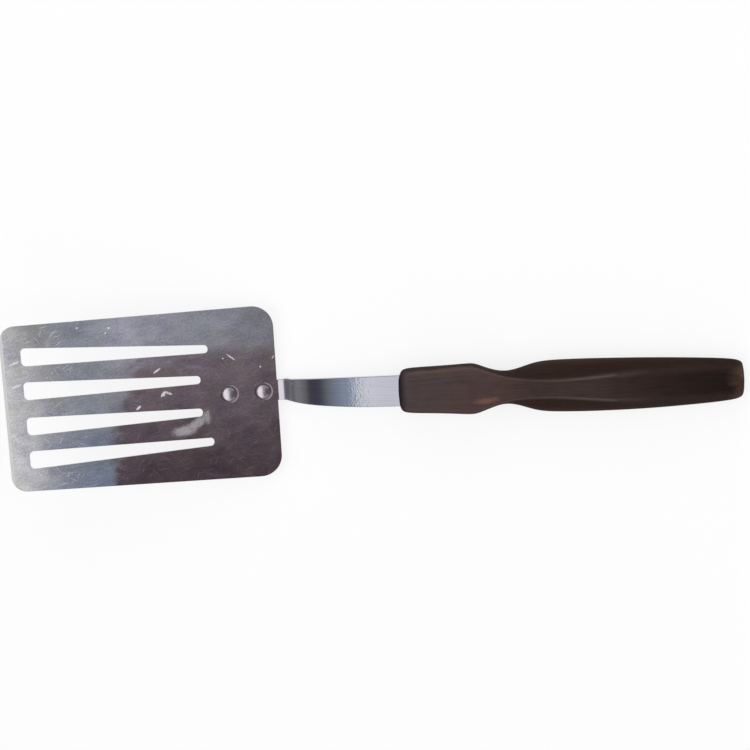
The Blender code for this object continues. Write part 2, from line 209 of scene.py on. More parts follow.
def pick(kind, test):
    """Selects the VERT, EDGE or FACE items that pass a test."""
    bpy.ops.mesh.select_mode(type=kind)
    bpy.ops.mesh.select_all(action="DESELECT")
    mesh = bpy.context.edit_object.data
    bm = bmesh.from_edit_mesh(mesh)
    for item in {"VERT": bm.verts, "EDGE": bm.edges, "FACE": bm.faces}[kind]:
        if test(item):
            item.select_set(True)
    bmesh.update_edit_mesh(mesh)


def extrude(step):
    bpy.ops.mesh.extrude_region_move(TRANSFORM_OT_translate={"value": step})


def close_piece():
    """Turns every face outwards and leaves edit mode."""
    bpy.ops.mesh.select_all(action="SELECT")
    bpy.ops.mesh.normals_make_consistent(inside=False)
    bpy.ops.object.mode_set(mode="OBJECT")


def apply_modifier(obj, kind, **settings):
    select_only(obj)
    modifier = obj.modifiers.new(kind.lower(), kind)
    for name, value in settings.items():
        setattr(modifier, name, value)
    bpy.ops.object.modifier_apply(modifier=modifier.name)


def cut(obj, cutter):
    """Takes a cutter's shape out of a piece and throws the cutter away."""
    apply_modifier(obj, "BOOLEAN", operation="DIFFERENCE", solver="EXACT", object=cutter)
    bpy.data.objects.remove(cutter, do_unlink=True)


def round_edges(obj, width, steps):
    """Rounds the edges that turn by more than ROUNDED_ANGLE."""
    settings = {"width": width, "segments": steps, "limit_method": "ANGLE", "angle_limit": ROUNDED_ANGLE}
    apply_modifier(obj, "BEVEL", **settings)


def smooth(obj, angle):
    """Shades a piece smooth, except across edges that turn by more than an angle."""
    select_only(obj)
    bpy.ops.object.shade_smooth_by_angle(angle=angle, keep_sharp_edges=True)
    apply_modifier(obj, "WEIGHTED_NORMAL", keep_sharp=True)


def tapered_plate(name, front, rear, front_radius, rear_radius, bottom, top, round_steps):
    """A plate that changes width from front to rear, each end given as (x, y, width), with round corners."""
    bpy.ops.object.select_all(action="DESELECT")
    bpy.ops.mesh.primitive_plane_add(size=1.0, location=(0.0, 0.0, bottom))
    obj = begin(name)
    for side, (x, y, width) in ((-1, front), (1, rear)):
        start_x = side / 2.0
        pick("VERT", lambda vert: abs(vert.co.x - start_x) < TINY)
        bpy.ops.transform.resize(value=(1.0, width, 1.0), center_override=(start_x, 0.0, bottom))
        bpy.ops.transform.translate(value=(x - start_x, y, 0.0))
    for (x, _, _), radius in ((front, front_radius), (rear, rear_radius)):
        pick("VERT", lambda vert: abs(vert.co.x - x) < TINY)
        bpy.ops.mesh.bevel(offset=radius, offset_type="OFFSET", segments=round_steps, affect="VERTICES")
    pick("FACE", lambda face: True)
    extrude((0.0, 0.0, top - bottom))
    close_piece()
    return obj


def turned(name, profile):
    """A round solid about Z, drawn up its profile of (radius, height) ring by ring and closed at the top."""
    radius, height = profile[0]
    bpy.ops.object.select_all(action="DESELECT")
    bpy.ops.mesh.primitive_circle_add(
        vertices=ROUND_STEPS, radius=radius, fill_type="NGON", location=(0.0, 0.0, height)
    )
    obj = begin(name)
    for next_radius, next_height in profile[1:]:
        extrude((0.0, 0.0, next_height - height))
        scale = next_radius / radius
        bpy.ops.transform.resize(value=(scale, scale, 1.0), center_override=(0.0, 0.0, next_height))
        radius, height = next_radius, next_height
    close_piece()
    return obj


# Blade

def make_blade():
    blade = tapered_plate(
        "blade_sheet",
        (0.0, 0.0, BLADE_FRONT_WIDTH),
        (BLADE_LENGTH, 0.0, BLADE_REAR_WIDTH),
        BLADE_FRONT_RADIUS,
        BLADE_REAR_RADIUS,
        -BLADE_THICKNESS,
        0.0,
        BLADE_CORNER_STEPS,
    )
    for label, (front, rear) in SLOTS.items():
        for side in (-1, 1):
            hole = tapered_plate(
                f"{label}_slot",
                (front[0], side * front[1], front[2]),
                (rear[0], side * rear[1], rear[2]),
                SLOT_FRONT_RADIUS,
                SLOT_REAR_RADIUS,
                -CUTTER_REACH,
                CUTTER_REACH,
                SLOT_CORNER_STEPS,
            )
            cut(blade, hole)
    hole_radius = RIVET_SHANK_RADIUS + GAP
    for x in RIVET_X.values():
        profile = (
            (hole_radius, -CUTTER_REACH),
            (hole_radius, -DISH_DEPTH),
            (DISH_FLOOR_RADIUS, -DISH_DEPTH),
            (2.0 * DISH_RADIUS - DISH_FLOOR_RADIUS, DISH_DEPTH),
        )
        dish = turned("rivet_dish", profile)
        place(dish, Matrix.Translation((x, 0.0, 0.0)))
        cut(blade, dish)
    round_edges(blade, STAMPED_EDGE, STAMPED_EDGE_STEPS)
    grind_front_edge(blade)
    smooth(blade, SHEET_SMOOTH_ANGLE)
    place(blade, REST)
    return blade


def grind_front_edge(blade):
    """Slices the top of the front edge off at the grinding angle."""
    slope = (BLADE_THICKNESS - GRIND_EDGE) / GRIND_WIDTH
    select_only(blade)
    bpy.ops.object.mode_set(mode="EDIT")
    bpy.ops.mesh.select_all(action="SELECT")
    bpy.ops.mesh.bisect(
        plane_co=(GRIND_WIDTH, 0.0, 0.0),
        plane_no=(-slope, 0.0, 1.0),
        use_fill=True,
        clear_outer=True,
        threshold=TINY,
    )
    pick("EDGE", lambda edge: all(abs(v.co.x - GRIND_WIDTH) + abs(v.co.z) < TINY for v in edge.verts))
    bpy.ops.mesh.mark_sharp()
    close_piece()


# Rivets

def make_rivets():
    """A domed solid rivet, modelled once and copied."""
    dome_height = RIVET_CROWN - RIVET_RIM
    dome = (RIVET_HEAD_RADIUS**2 + dome_height**2) / (2.0 * dome_height)
    rim_angle = math.asin(RIVET_HEAD_RADIUS / dome)
    profile = [
        (RIVET_TAIL_RADIUS - RIVET_TAIL_ROUND, RIVET_TAIL_FOOT),
        (RIVET_TAIL_RADIUS, RIVET_TAIL_FOOT + RIVET_TAIL_ROUND),
        (RIVET_TAIL_RADIUS, RIVET_TAIL_TOP),
        (RIVET_SHANK_RADIUS, RIVET_TAIL_TOP),
        (RIVET_SHANK_RADIUS, RIVET_SEAT),
        (RIVET_HEAD_RADIUS, RIVET_SEAT),
    ]
    for step in range(RIVET_DOME_STEPS):
        angle = rim_angle * (1.0 - step / RIVET_DOME_STEPS)
        profile.append((dome * math.sin(angle), RIVET_CROWN - dome + dome * math.cos(angle)))
    rivet = turned("rivet", profile)
    bpy.ops.object.mode_set(mode="EDIT")
    extrude((0.0, 0.0, RIVET_CROWN - profile[-1][1]))
    bpy.ops.mesh.merge(type="CENTER")
    close_piece()
    smooth(rivet, SMOOTH_ANGLE)
    copies = {}
    for name, x in RIVET_X.items():
        copy = rivet.copy()
        copy.data = rivet.data.copy()
        copy.name = name + "_steel"
        copy.data.name = copy.name
        bpy.context.scene.collection.objects.link(copy)
        place(copy, REST @ Matrix.Translation((x, 0.0, 0.0)))
        copies[name] = copy
    bpy.data.objects.remove(rivet, do_unlink=True)
    return copies


# Shank

def strip_runs():
    """The bent strip's runs as (length, turn, steps), from the tab's end to the tang's."""
    return {
        "tab": (TAB_END_X - TAB_START_X, 0.0, 3),
        "lift": (LIP_RADIUS * LIP_SLOPE, LIP_SLOPE, 6),
        "lip": (LIP_LENGTH, 0.0, 1),
        "heel": (HEEL_RADIUS * (HEEL_SLOPE - LIP_SLOPE), HEEL_SLOPE - LIP_SLOPE, 16),
        "rise": (RISE_LENGTH, 0.0, 1),
        "crank": (CRANK_RADIUS * CRANK_TURN, -CRANK_TURN, 16),
        "ease": (EASE_RADIUS * EASE_TURN, -EASE_TURN, 16),
        "neck": (NECK_LENGTH, 0.0, 3),
        "buried": (SHOULDER_DEPTH, 0.0, 1),
        "shoulder": (SHOULDER_LENGTH, 0.0, 8),
        "tang": (TANG_LENGTH - SHOULDER_DEPTH - SHOULDER_LENGTH, 0.0, 4),
    }


def run_start(name):
    """Distance from the tab's end at which a run starts."""
    distance = 0.0
    for run, (length, _, _) in strip_runs().items():
        if run == name:
            break
        distance += length
    return distance


def strip_half_width(distance):
    """Half the strip's width: straight tab, flared crank, shoulder and tang."""
    flare = 1.0 - math.exp(-max(distance - run_start("rise"), 0.0) / FLARE_LENGTH)
    half = (TAB_WIDTH + FLARE_GROWTH * flare) / 2.0
    blend = min(max((distance - run_start("shoulder")) / SHOULDER_LENGTH, 0.0), 1.0)
    return half + (TANG_WIDTH / 2.0 - half) * blend * blend * (3.0 - 2.0 * blend)


def strip_stations(grow):
    """Stations along the strip as (point, slope, half width), with both ends moved out by grow."""
    point = Vector((TAB_START_X, 0.0, -BLADE_THICKNESS - GAP - STRIP_THICKNESS / 2.0))
    slope = 0.0
    distance = 0.0
    stations = [(point - Vector((grow, 0.0, 0.0)), slope, strip_half_width(0.0) + grow)]
    for length, turn, steps in strip_runs().values():
        chord = length / steps
        if turn:
            chord = 2.0 * length / abs(turn) * math.sin(abs(turn) / steps / 2.0)
        for _ in range(steps):
            middle = slope + turn / steps / 2.0
            point = point + Vector((math.cos(middle), 0.0, math.sin(middle))) * chord
            slope += turn / steps
            distance += length / steps
            stations.append((point, slope, strip_half_width(distance) + grow))
    end, end_slope, end_half = stations[-1]
    beyond = Vector((math.cos(end_slope), 0.0, math.sin(end_slope))) * grow
    stations[-1] = (end + beyond, end_slope, end_half)
    return stations


def bent_strip(name, grow):
    """The strip's section, drawn along its bends step by step, with its two ends rounded."""
    stations = strip_stations(grow)
    point, slope, half = stations[0]
    thickness = STRIP_THICKNESS + 2.0 * grow
    bpy.ops.object.select_all(action="DESELECT")
    bpy.ops.mesh.primitive_plane_add(size=1.0, location=point, rotation=(0.0, math.radians(90.0), 0.0))
    obj = begin(name)
    bpy.ops.transform.resize(value=(1.0, 2.0 * half, thickness), center_override=point)
    for next_point, next_slope, next_half in stations[1:]:
        extrude(next_point - point)
        # With no window the turn runs the other way, so a rising slope is a positive turn about Y
        bpy.ops.transform.rotate(value=next_slope - slope, orient_axis="Y", center_override=next_point)
        bpy.ops.transform.resize(value=(1.0, next_half / half, 1.0), center_override=next_point)
        point, slope, half = next_point, next_slope, next_half
    for (end, _, end_half) in (stations[0], stations[-1]):
        pick(
            "EDGE",
            lambda edge: all((Vector((v.co.x, 0.0, v.co.z)) - end).length < thickness for v in edge.verts)
            and abs(edge.verts[0].co.y - edge.verts[1].co.y) < TINY
            and edge.calc_length() < thickness + TINY,
        )
        radius = end_half - STRIP_END_FLAT
        bpy.ops.mesh.bevel(offset=radius, offset_type="OFFSET", segments=STRIP_END_STEPS, affect="EDGES")
    close_piece()
    return obj


def anchor_pegs(radius):
    """Round bars through the tang's anchor holes, square to the tang."""
    for number, behind_face in enumerate(ANCHOR_PLACES):
        bar = turned(f"anchor_{number}", ((radius, -CUTTER_REACH), (radius, CUTTER_REACH)))
        place(bar, handle_matrix() @ Matrix.Translation((behind_face, 0.0, 0.0)))
        yield bar


def make_shank():
    shank = bent_strip("shank_strip", 0.0)
    round_edges(shank, STRIP_EDGE, STRIP_EDGE_STEPS)
    for x in RIVET_X.values():
        radius = RIVET_SHANK_RADIUS + GAP
        bar = turned("rivet_hole", ((radius, -CUTTER_REACH), (radius, 0.0)))
        place(bar, Matrix.Translation((x, 0.0, 0.0)))
        cut(shank, bar)
    for bar in anchor_pegs(ANCHOR_RADIUS):
        cut(shank, bar)
    smooth(shank, SMOOTH_ANGLE)
    place(shank, REST)
    return shank


# Handle

def handle_matrix():
    """Puts the handle's own frame, front face at the origin and +X to the butt, on the end of the neck."""
    tang_end, slope, _ = strip_stations(0.0)[-1]
    along = Vector((math.cos(slope), 0.0, math.sin(slope)))
    return Matrix.Translation(tang_end - along * TANG_LENGTH) @ Matrix.Rotation(-slope, 4, "Y")


def section_rows(section):
    """A section's three rows of points, as (half width, level)."""
    _, top_half, top, wide_half, level, base_half, depth, _ = section
    return [(top_half * MM, top * MM), (wide_half * MM, level * MM), (base_half * MM, -depth * MM)]


def make_handle():
    """An eight-sided ring, extruded and reshaped from section to section, then rounded."""
    bpy.ops.object.select_all(action="DESELECT")
    bpy.ops.mesh.primitive_circle_add(
        vertices=8, radius=1.0, fill_type="NGON", rotation=(math.radians(90.0), 0.0, math.radians(90.0))
    )
    handle = begin("handle_moulding")
    corner = math.sqrt(0.5)
    rows = [(corner, (corner, 1.0)), (1.0, (0.0, 0.0)), (corner, (-1.0, -corner))]
    x = 0.0
    for section in HANDLE_SECTIONS_MM:
        next_x = section[0] * MM
        if next_x > x:
            pick("FACE", lambda face: all(abs(vert.co.x - x) < TINY for vert in face.verts))
            extrude((next_x - x, 0.0, 0.0))
        x = next_x
        new_rows = []
        for (half, levels), (next_half, next_level) in zip(rows, section_rows(section)):
            low, high = min(levels) - TINY, max(levels) + TINY
            pick("VERT", lambda vert: abs(vert.co.x - x) < TINY and low < vert.co.z < high)
            bpy.ops.transform.resize(
                value=(1.0, next_half / half, 0.0), center_override=(x, 0.0, next_level)
            )
            new_rows.append((next_half, (next_level, next_level)))
        rows = new_rows
    crease_handle()
    bow_end(HANDLE_SECTIONS_MM[0], FRONT_FACE_BOW)
    bow_end(HANDLE_SECTIONS_MM[-1], -BUTT_BOW)
    close_piece()
    apply_modifier(handle, "SUBSURF", levels=HANDLE_ROUNDING, render_levels=HANDLE_ROUNDING)
    place(handle, handle_matrix())
    socket = bent_strip("tang_socket", GAP)
    for bar in anchor_pegs(ANCHOR_RADIUS - GAP):
        cut(socket, bar)
    cut(handle, socket)
    smooth(handle, SMOOTH_ANGLE)
    place(handle, REST)
    return handle


def bow_end(section, bow):
    """Moves the sides of an end face along the handle, more the further out they are."""
    x, wide_half = section[0] * MM, section[3] * MM
    for half, level in section_rows(section):
        pick("VERT", lambda vert: row_point(vert, x, half, level))
        bpy.ops.transform.translate(value=(bow * (half / wide_half) ** 2, 0.0, 0.0))


def row_point(vert, x, half, level):
    """True for a row's outer point on either side of a section."""
    at_section = abs(vert.co.x - x) < TINY
    return at_section and abs(abs(vert.co.y) - half) < TINY and abs(vert.co.z - level) < TINY


def crease(test, crispness):
    pick("EDGE", test)
    bpy.ops.transform.edge_crease(value=crispness)


def crease_handle():
    """Crisp long edges on the top, softer ones below, and rounded ends."""
    for near, far in zip(HANDLE_SECTIONS_MM, HANDLE_SECTIONS_MM[1:]):
        near_rows, far_rows = section_rows(near), section_rows(far)
        for row, crispness in ((0, (near[-1] + far[-1]) / 2.0), (2, BASE_CRISPNESS)):
            ends = ((near[0] * MM, *near_rows[row]), (far[0] * MM, *far_rows[row]))
            crease(lambda edge: edge_between(edge, ends), crispness)
    for end, crispness in ((0, FRONT_CRISPNESS), (-1, BUTT_CRISPNESS)):
        x = HANDLE_SECTIONS_MM[end][0] * MM
        crease(lambda edge: all(abs(vert.co.x - x) < TINY for vert in edge.verts), crispness)


def edge_between(edge, ends):
    verts = sorted(edge.verts, key=lambda vert: vert.co.x)
    return all(row_point(vert, *end) for vert, end in zip(verts, ends))


# Materials

def linear(hex_colour):
    """An sRGB hex colour as the linear RGBA that sockets hold."""
    channels = [int(hex_colour[start:start + 2], 16) / 255.0 for start in (1, 3, 5)]
    curve = [c / 12.92 if c <= 0.04045 else ((c + 0.055) / 1.055) ** 2.4 for c in channels]
    return (*curve, 1.0)


def add_node(tree, kind, inputs=(), output=None, **settings):
    """Adds a node, sets it up and returns an output. Inputs come in their order or by name, each as a value
    or as the output that feeds it."""
    node = tree.nodes.new(kind)
    for name, value in settings.items():
        setattr(node, name, value)
    sockets = [socket for socket in node.inputs if socket.enabled]
    if isinstance(inputs, dict):
        sockets = [next(socket for socket in sockets if socket.name == name) for name in inputs]
        inputs = inputs.values()
    for socket, value in zip(sockets, inputs):
        if isinstance(value, bpy.types.NodeSocket):
            tree.links.new(value, socket)
        else:
            socket.default_value = value
    if output:
        return node.outputs[output]
    return next((socket for socket in node.outputs if socket.enabled), None)


def tones_along(tree, value, stops):
    """The colour that goes with a value, from stops given as (value, colour)."""
    low, high = stops[0][0], stops[-1][0]
    colour = add_node(tree, "ShaderNodeValToRGB", [add_node(tree, "ShaderNodeMapRange", [value, low, high])])
    elements = colour.node.color_ramp.elements
    while len(elements) < len(stops):
        elements.new(0.5)
    for element, (at, hex_colour) in zip(elements, stops):
        element.position = (at - low) / (high - low)
        element.color = linear(hex_colour)
    return colour


def new_material(name, piece):
    """A material on a piece, as its node tree and its Principled shader."""
    material = bpy.data.materials.new(name)
    material.use_nodes = True
    piece.data.materials.clear()
    piece.data.materials.append(material)
    return material.node_tree, material.node_tree.nodes["Principled BSDF"]


def coordinates_mm(tree, matrix):
    """Millimetres in a piece's own frame, from the object's coordinates on the table."""
    table = add_node(tree, "ShaderNodeTexCoord", output="Object")
    inputs = {
        "Vector": table,
        "Location": matrix.to_translation(),
        "Rotation": matrix.to_euler(),
        "Scale": (MM, MM, MM),
    }
    return add_node(tree, "ShaderNodeMapping", inputs, vector_type="TEXTURE")


CLOUD_RANGE = (0.3, 0.7)  # most of a cloud's values lie between these


def cloud(tree, where, size_mm, detail, turn=0.0):
    """A cloudy pattern from 0 to 1 whose patches have the given size, turned about Z."""
    inputs = {"Vector": where, "Rotation": (0.0, 0.0, math.radians(turn)), "Scale": size_mm}
    cells = add_node(tree, "ShaderNodeMapping", inputs, vector_type="TEXTURE")
    return add_node(tree, "ShaderNodeTexNoise", {"Vector": cells, "Scale": 1.0, "Detail": detail})


def between(tree, value, start, full, fading, end):
    """A mask that rises from start to full, stays, and falls from fading to end."""
    rise = add_node(tree, "ShaderNodeMapRange", [value, start, full])
    fall = add_node(tree, "ShaderNodeMapRange", [value, end, fading])
    return add_node(tree, "ShaderNodeMath", [rise, fall], operation="MULTIPLY")


SCRATCH_EDGE = (0.2, 0.04)  # where a scratch starts and is full, in cells from its middle


def scratches(tree, where, size_mm, turn, share):
    """Thin marks strewn one to a cell of the given length and spacing, on a share of the cells, each with
    a strength of its own, mostly faint."""
    inputs = {"Vector": where, "Rotation": (0.0, 0.0, math.radians(turn)), "Scale": (*size_mm, 1.0)}
    cells = add_node(tree, "ShaderNodeMapping", inputs, vector_type="TEXTURE")
    inputs = {"Vector": cells, "Scale": 1.0}
    distance = add_node(tree, "ShaderNodeTexVoronoi", inputs, "Distance", voronoi_dimensions="2D")
    lots = add_node(tree, "ShaderNodeSeparateColor", [distance.node.outputs["Color"]]).node.outputs
    mark = add_node(tree, "ShaderNodeMapRange", [distance, *SCRATCH_EDGE])
    drawn = add_node(tree, "ShaderNodeMath", [lots["Red"], share], operation="LESS_THAN")
    for factor in (drawn, lots["Green"], lots["Green"]):
        mark = add_node(tree, "ShaderNodeMath", [mark, factor], operation="MULTIPLY")
    return mark


MARK_EDGE = 0.22  # share of a mark's middle at which its edge is drawn


def marks(tree, where, table, level_mm, grain_mm, softness):
    """Single marks as ellipses whose edges are frayed by a grain and more or less soft. The level is that
    of the face they are on and how far from it they reach."""
    grain = cloud(tree, where, (grain_mm, grain_mm, grain_mm), detail=3.0)
    highest = 0.0
    for centre_mm, half_size_mm, turn, strength in table:
        inputs = {
            "Vector": where,
            "Location": (*centre_mm, level_mm[0]),
            "Rotation": (0.0, 0.0, math.radians(turn)),
            "Scale": (*half_size_mm, level_mm[1]),
        }
        local = add_node(tree, "ShaderNodeMapping", inputs, vector_type="TEXTURE")
        fall = add_node(tree, "ShaderNodeTexGradient", [local], "Fac", gradient_type="SPHERICAL")
        frayed = add_node(tree, "ShaderNodeMath", [fall, grain], operation="MULTIPLY")
        limits = [frayed, MARK_EDGE - softness, MARK_EDGE + softness, 0.0, strength]
        mark = add_node(tree, "ShaderNodeMapRange", limits, interpolation_type="SMOOTHSTEP")
        highest = add_node(tree, "ShaderNodeMath", [highest, mark], operation="MAXIMUM")
    return highest


def lay_finishes(tree, shader, base, layers):
    """Lays finishes over a base, each through its mask, and feeds the shader. A finish is a colour, a share
    of metal and a roughness."""
    colour, metal, roughness = base
    for mask, mask_colour, mask_metal, mask_roughness in layers:
        colour = add_node(tree, "ShaderNodeMix", [mask, colour, linear(mask_colour)], data_type="RGBA")
        metal = add_node(tree, "ShaderNodeMix", [mask, metal, mask_metal])
        roughness = add_node(tree, "ShaderNodeMix", [mask, roughness, mask_roughness])
    tree.links.new(colour, shader.inputs["Base Color"])
    tree.links.new(metal, shader.inputs["Metallic"])
    tree.links.new(roughness, shader.inputs["Roughness"])


# Fine scratches on the blade, as cell length and spacing in mm, turn in degrees and share of cells
SCRATCHES = (
    ((15.0, 1.0), 34.0, 0.5),
    ((17.0, 0.9), -27.0, 0.5),
    ((13.0, 1.1), 12.0, 0.5),
    ((16.0, 0.9), -52.0, 0.4),
    ((11.0, 1.2), 71.0, 0.4),
    ((20.0, 0.9), 4.0, 0.5),
    ((2.4, 1.9), 0.0, 0.16),
)
# Deeper wear, as place (x, y) and half size in mm, turn in degrees and strength
SCRAPES = (
    ((99.9, 16.4), (4.2, 0.46), -38.0, 0.8),
    ((67.1, 12.8), (3.2, 0.7), 32.0, 0.7),
    ((69.2, 2.2), (2.8, 1.2), 45.0, 0.75),
    ((71.4, 2.5), (2.9, 0.9), -22.0, 0.6),
    ((57.9, -3.1), (2.1, 0.9), 42.0, 0.75),
    ((118.4, 15.2), (1.9, 0.4), 62.0, 0.7),
    ((112.6, 11.3), (0.9, 0.55), 60.0, 0.7),
    ((47.6, 33.2), (0.8, 0.6), 20.0, 1.0),
    ((46.1, 31.1), (0.9, 0.55), 30.0, 1.0),
    ((34.0, 34.2), (0.7, 0.55), 0.0, 0.8),
    ((96.3, 16.1), (0.7, 0.55), 0.0, 0.7),
    ((5.8, 20.6), (4.0, 0.9), 18.0, 0.8),
    ((5.4, 10.2), (4.6, 0.9), 18.0, 0.8),
)
# Film of hard water behind one slot, in the same terms
WATER_FILM = (
    ((77.4, -14.9), (8.0, 3.5), 8.0, 0.7),
    ((82.8, -12.2), (9.0, 2.9), 33.0, 0.75),
    ((87.4, -9.6), (3.0, 5.0), 0.0, 0.4),
)
BLADE_TOP = (0.0, 1.0)  # level of the marks on the blade, and a reach less than its thickness, in mm
SCRATCHED_MM = (14.0, 44.0)  # behind the front edge, where the scratches begin and cease to thin out
SCRATCH_STRENGTH = (0.55, 0.13)  # before and behind that
POLISH_RANGE = (0.76, 1.25)  # in which most of the added patterns of the polish lie
POLISHED_ROUGHNESS = 0.028
GRIND_BLUR_MM = 0.1  # softness of the ground edge's border
DISH_BLUR_MM = 0.3  # softness of the dishes' borders


def polished_sheet(piece):
    """Stainless sheet, mirror polished and then used: clear reflections, faint polishing lines, hair-fine
    scratches that catch the light, a dull ground front edge and a film of hard water behind one slot."""
    tree, shader = new_material("stainless_sheet_polished", piece)
    where = coordinates_mm(tree, REST)
    # Polishing lines 0.5 mm wide and 7 mm long, coarser than the real ones so that they show
    lines = cloud(tree, where, (7.0, 0.5, 1.0), detail=3.0, turn=12.0)
    # Patches 10 mm across, where wiping has left the polish uneven, and a tint that drifts from blue to grey
    patches = cloud(tree, where, (10.0, 6.0, 1.0), detail=4.0)
    drift = cloud(tree, where, (16.0, 11.0, 1.0), detail=2.0, turn=40.0)
    drift = add_node(tree, "ShaderNodeMapRange", [drift, *CLOUD_RANGE])
    tint = add_node(tree, "ShaderNodeMix", [drift, linear("#AEABBD"), linear("#BDC1B5")], data_type="RGBA")
    # Wear too fine to draw line by line, as grain of 0.9 mm
    grain = cloud(tree, where, (1.1, 0.8, 1.0), detail=3.0, turn=28.0)
    tone = 0.0
    for pattern, share in ((lines, 0.5), (patches, 0.7), (grain, 0.8)):
        tone = add_node(tree, "ShaderNodeMath", [pattern, share, tone], operation="MULTIPLY_ADD")
    tone = add_node(tree, "ShaderNodeMapRange", [tone, *POLISH_RANGE])
    steel = add_node(tree, "ShaderNodeMix", [tone, tint, linear("#E2E1E2")], data_type="RGBA")
    # Scratches 4 to 8 mm long, drawn about 0.3 mm wide so that they show, and specks of 1 mm
    hairs = 0.0
    for size_mm, turn, share in SCRATCHES:
        hair = scratches(tree, where, size_mm, turn, share)
        hairs = add_node(tree, "ShaderNodeMath", [hairs, hair], operation="MAXIMUM")
    # The front end is scratched the most
    along = add_node(tree, "ShaderNodeSeparateXYZ", [where], "X")
    use = add_node(tree, "ShaderNodeMapRange", [along, *SCRATCHED_MM, *SCRATCH_STRENGTH])
    hairs = add_node(tree, "ShaderNodeMath", [hairs, use], operation="MULTIPLY")
    scrapes = marks(tree, where, SCRAPES, BLADE_TOP, grain_mm=1.1, softness=0.1)
    worn = add_node(tree, "ShaderNodeMath", [scrapes, hairs], operation="MAXIMUM")
    film = marks(tree, where, WATER_FILM, BLADE_TOP, grain_mm=1.5, softness=0.2)
    border = GRIND_WIDTH / MM
    ground = add_node(tree, "ShaderNodeMapRange", [along, border + GRIND_BLUR_MM, border - GRIND_BLUR_MM])
    # The dishes that the rivets' setting has pressed are dull
    dishes = 0.0
    border = DISH_RADIUS / MM
    for x in RIVET_X.values():
        inputs = [where, (x / MM, 0.0, 0.0)]
        radius = add_node(tree, "ShaderNodeVectorMath", inputs, "Value", operation="DISTANCE")
        dish = add_node(tree, "ShaderNodeMapRange", [radius, border + DISH_BLUR_MM, border - DISH_BLUR_MM])
        dishes = add_node(tree, "ShaderNodeMath", [dishes, dish], operation="MAXIMUM")
    layers = (
        (dishes, "#A0969A", 1.0, 0.34),
        (worn, "#F2EEF0", 0.25, 0.45),
        (film, "#AEA1A3", 0.4, 0.5),
        (ground, "#DAD9D7", 0.3, 0.5),
    )
    lay_finishes(tree, shader, (steel, 1.0, POLISHED_ROUGHNESS), layers)
    # The sheet waves by a few hundredths of a millimetre over 40 mm, and by less over 12 mm, which bends
    # what it mirrors
    bend = None
    for size_mm, height_mm in (((42.0, 24.0, 1.0), 0.06), ((12.0, 9.0, 1.0), 0.012)):
        waves = cloud(tree, where, size_mm, detail=2.0)
        inputs = {"Strength": 1.0, "Distance": height_mm * MM, "Height": waves}
        if bend:
            inputs["Normal"] = bend
        bend = add_node(tree, "ShaderNodeBump", inputs)
    tree.links.new(bend, shader.inputs["Normal"])


# Along the strip in mm, where a mask starts, is full, begins to end and ends
# The lip's mask carries a painted highlight
LIP_PAINTED_HIGHLIGHT = (118.6, 119.6, 121.6, 122.4)
# The heel's mask carries a painted shade
HEEL_PAINTED_SHADE = (122.3, 122.9, 124.4, 126.0)
DENTED = (148.0, 152.0, 163.0, 168.0)
SATIN_ROUGHNESS = 0.12


def satin_strip(piece):
    """Stainless strip, belt ground lengthwise and lightly polished: soft reflections with fine long lines,
    a lip painted lighter as a painted highlight behind the blade, a heel painted darker as painted shade,
    and small dents that break the light up where the strip was held."""
    tree, shader = new_material("stainless_strip_satin", piece)
    where = coordinates_mm(tree, REST)
    along = add_node(tree, "ShaderNodeSeparateXYZ", [where], "X")
    # Belt lines 0.4 mm wide and 25 mm long, coarser than the real ones so that they show
    lines = cloud(tree, where, (25.0, 0.4, 25.0), detail=3.0)
    lines = add_node(tree, "ShaderNodeMapRange", [lines, *CLOUD_RANGE])
    steel = add_node(tree, "ShaderNodeMix", [lines, linear("#C5C5CD"), linear("#D0D0D8")], data_type="RGBA")
    layers = (
        # Painted highlight: a lighter colour on the lip stands in for a bright reflection
        (between(tree, along, *LIP_PAINTED_HIGHLIGHT), "#EAE3E5", 1.0, 0.16),
        # Painted shade: a darker, duller colour on the heel stands in for the dark reflection in the hollow
        # behind the blade
        (between(tree, along, *HEEL_PAINTED_SHADE), "#807C80", 0.5, 0.5),
    )
    lay_finishes(tree, shader, (steel, 1.0, SATIN_ROUGHNESS), layers)
    # Dents 0.9 mm across and up to a twentieth of a millimetre deep
    dents = cloud(tree, where, (0.9, 0.9, 0.9), detail=1.5)
    held = between(tree, along, *DENTED)
    dents = add_node(tree, "ShaderNodeMath", [dents, held], operation="MULTIPLY")
    bump = add_node(tree, "ShaderNodeBump", {"Strength": 1.0, "Distance": 0.1 * MM, "Height": dents})
    tree.links.new(bump, shader.inputs["Normal"])


RIVET_ROUGHNESS = (0.2, 0.29)  # of its bright and of its dulled places


def rivet_steel(piece):
    """Stainless rivet, its dome tumbled and dulled a little by use, its colour lifted near white as a
    painted highlight.
    """
    tree, shader = new_material("stainless_rivet_painted_highlight", piece)
    where = coordinates_mm(tree, REST)
    shader.inputs["Metallic"].default_value = 1.0
    # Dents of tumbling, 0.9 mm across
    dents = cloud(tree, where, (0.9, 0.9, 0.9), detail=2.0)
    # Painted highlight: both tones are lifted near white, past steel's own colour, so that the dome's
    # reflection is brighter
    steel = add_node(tree, "ShaderNodeMix", [dents, linear("#E8E0E3"), linear("#FBF7F8")], data_type="RGBA")
    tree.links.new(steel, shader.inputs["Base Color"])
    dull = add_node(tree, "ShaderNodeMapRange", [dents, *CLOUD_RANGE, *RIVET_ROUGHNESS])
    tree.links.new(dull, shader.inputs["Roughness"])
    bump = add_node(tree, "ShaderNodeBump", {"Strength": 1.0, "Distance": 0.028 * MM, "Height": dents})
    tree.links.new(bump, shader.inputs["Normal"])


